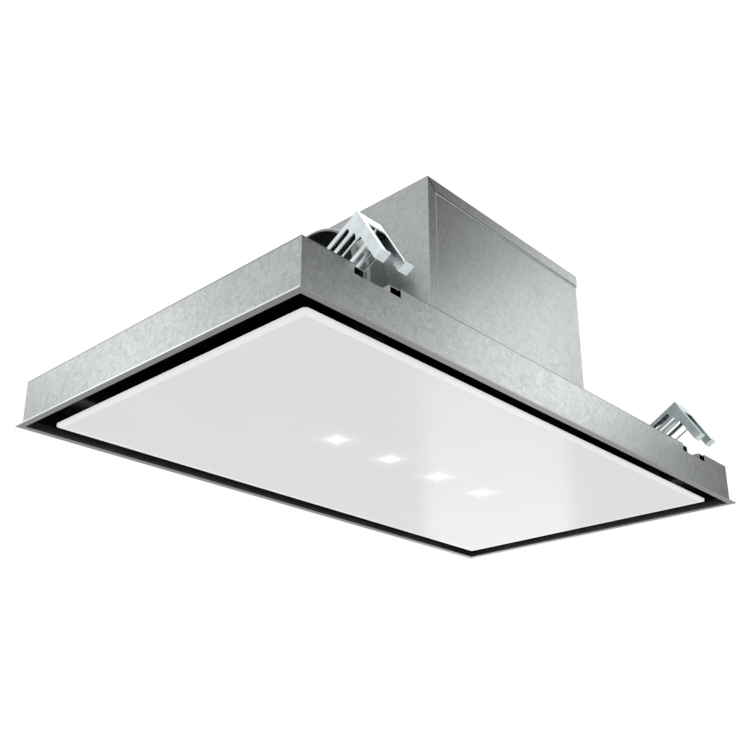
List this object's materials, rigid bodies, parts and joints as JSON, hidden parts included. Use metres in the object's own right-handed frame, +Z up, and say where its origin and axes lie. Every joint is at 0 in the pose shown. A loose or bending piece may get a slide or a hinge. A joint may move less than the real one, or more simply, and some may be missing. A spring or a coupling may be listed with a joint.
{
  "type": "ceiling range hood",
  "caption": "Flush ceiling extractor hood: shallow steel frame with a hinged white glass panel, edge suction, swinging ceiling clamps and a box-shaped fan housing with a side duct collar.",
  "frame": {"origin": "plan centre of the hood, on the plane of the trim lip's lower face", "axes": "+X along the long side, to the right in the picture; +Y away from the near long side; +Z up, into the ceiling"},
  "size_m": [0.9, 0.5308, 0.299],
  "materials": {
    "galvanised": "galvanised sheet with fine spangle",
    "brushed_steel": "brushed",
    "zinc": "bright zinc plated",
    "black_enamel": "gloss black",
    "black_plastic": "matt",
    "grey_plastic": "matt",
    "white_glass": "white back-painted, polished",
    "lamp_lens": "frosted, lit",
    "aluminium": "satin",
    "rubber": "matt"
  },
  "bodies": {
    "chassis": {"lip_profile": "brushed_steel", "frame_walls": "galvanised", "recess_tray": "black_enamel", "top_deck": "galvanised", "clamp_bolt_1": "zinc", "clamp_bolt_2": "zinc", "clamp_bolt_3": "zinc", "clamp_bolt_4": "zinc", "clamp_base_1": "galvanised", "clamp_base_2": "galvanised", "clamp_base_3": "galvanised", "clamp_base_4": "galvanised", "motor_box_shell": "galvanised", "motor_box_cover": "galvanised", "duct_collar": "galvanised", "flap_spindle": "zinc", "fan_scroll": "grey_plastic", "inlet_ring": "black_plastic", "motor": "galvanised", "fan_mount_1": "rubber", "fan_mount_2": "rubber", "fan_mount_3": "rubber", "fan_mount_4": "rubber", "control_box": "grey_plastic", "led_driver": "grey_plastic", "mains_gland": "black_plastic", "hinge_bracket_left": "zinc", "hinge_bracket_right": "zinc", "hinge_pin_left": "zinc", "hinge_pin_right": "zinc", "panel_magnet_left": "black_plastic", "panel_magnet_right": "black_plastic"},
    "clamp_1": {"clamp_bracket_1": "zinc"},
    "clamp_2": {"clamp_bracket_2": "zinc"},
    "clamp_3": {"clamp_bracket_3": "zinc"},
    "clamp_4": {"clamp_bracket_4": "zinc"},
    "flap_near": {"flap_near": "black_plastic"},
    "flap_far": {"flap_far": "black_plastic"},
    "fan_wheel": {"impeller": "black_plastic", "blade_ring": "black_plastic"},
    "panel": {"glass_panel": "white_glass", "panel_tray": "galvanised", "led_lens_1": "lamp_lens", "led_lens_2": "lamp_lens", "led_lens_3": "lamp_lens", "led_lens_4": "lamp_lens"},
    "filter_left": {"filter_frame_left": "aluminium", "filter_mesh_left": "aluminium"},
    "filter_right": {"filter_frame_right": "aluminium", "filter_mesh_right": "aluminium"}
  },
  "joints": [
    {"name": "clamp_swing_1", "type": "hinge", "parent": "chassis", "child": "clamp_1", "pos_m": [-0.3394, -0.151, 0.0595], "axis": [1, 0, 0], "range_deg": [-55, 30]},
    {"name": "clamp_swing_2", "type": "hinge", "parent": "chassis", "child": "clamp_2", "pos_m": [0.3394, -0.151, 0.0595], "axis": [1, 0, 0], "range_deg": [-55, 30]},
    {"name": "clamp_swing_3", "type": "hinge", "parent": "chassis", "child": "clamp_3", "pos_m": [-0.3394, 0.151, 0.0595], "axis": [-1, 0, 0], "range_deg": [-55, 30]},
    {"name": "clamp_swing_4", "type": "hinge", "parent": "chassis", "child": "clamp_4", "pos_m": [0.3394, 0.151, 0.0595], "axis": [-1, 0, 0], "range_deg": [-55, 30]},
    {"name": "panel_hinge", "type": "hinge", "parent": "chassis", "child": "panel", "pos_m": [0, 0.212, 0.015], "axis": [1, 0, 0], "range_deg": [0, 90]},
    {"name": "filter_tilt_left", "type": "hinge", "parent": "chassis", "child": "filter_left", "pos_m": [-0.1535, 0.133, 0.0264], "axis": [1, 0, 0], "range_deg": [0, 45]},
    {"name": "filter_tilt_right", "type": "hinge", "parent": "chassis", "child": "filter_right", "pos_m": [0.1535, 0.133, 0.0264], "axis": [1, 0, 0], "range_deg": [0, 45]},
    {"name": "fan_spin", "type": "hinge", "parent": "chassis", "child": "fan_wheel", "pos_m": [0.038, 0.0318, 0.166], "axis": [0, 0, 1], "continuous": true},
    {"name": "flap_near_swing", "type": "hinge", "parent": "chassis", "child": "flap_near", "pos_m": [-0.182, -0.0272, 0.175], "axis": [0, 0, -1], "range_deg": [0, 75], "stiffness_Nm_per_rad": 0.01},
    {"name": "flap_far_swing", "type": "hinge", "parent": "chassis", "child": "flap_far", "pos_m": [-0.182, -0.0272, 0.175], "axis": [0, 0, 1], "range_deg": [0, 75], "stiffness_Nm_per_rad": 0.01}
  ],
  "couplings": [
    {"joint": "filter_tilt_left", "follows": "panel_hinge", "ratio": 0.5},
    {"joint": "filter_tilt_right", "follows": "panel_hinge", "ratio": 0.5},
    {"joint": "flap_far_swing", "follows": "flap_near_swing", "ratio": 1}
  ]
}
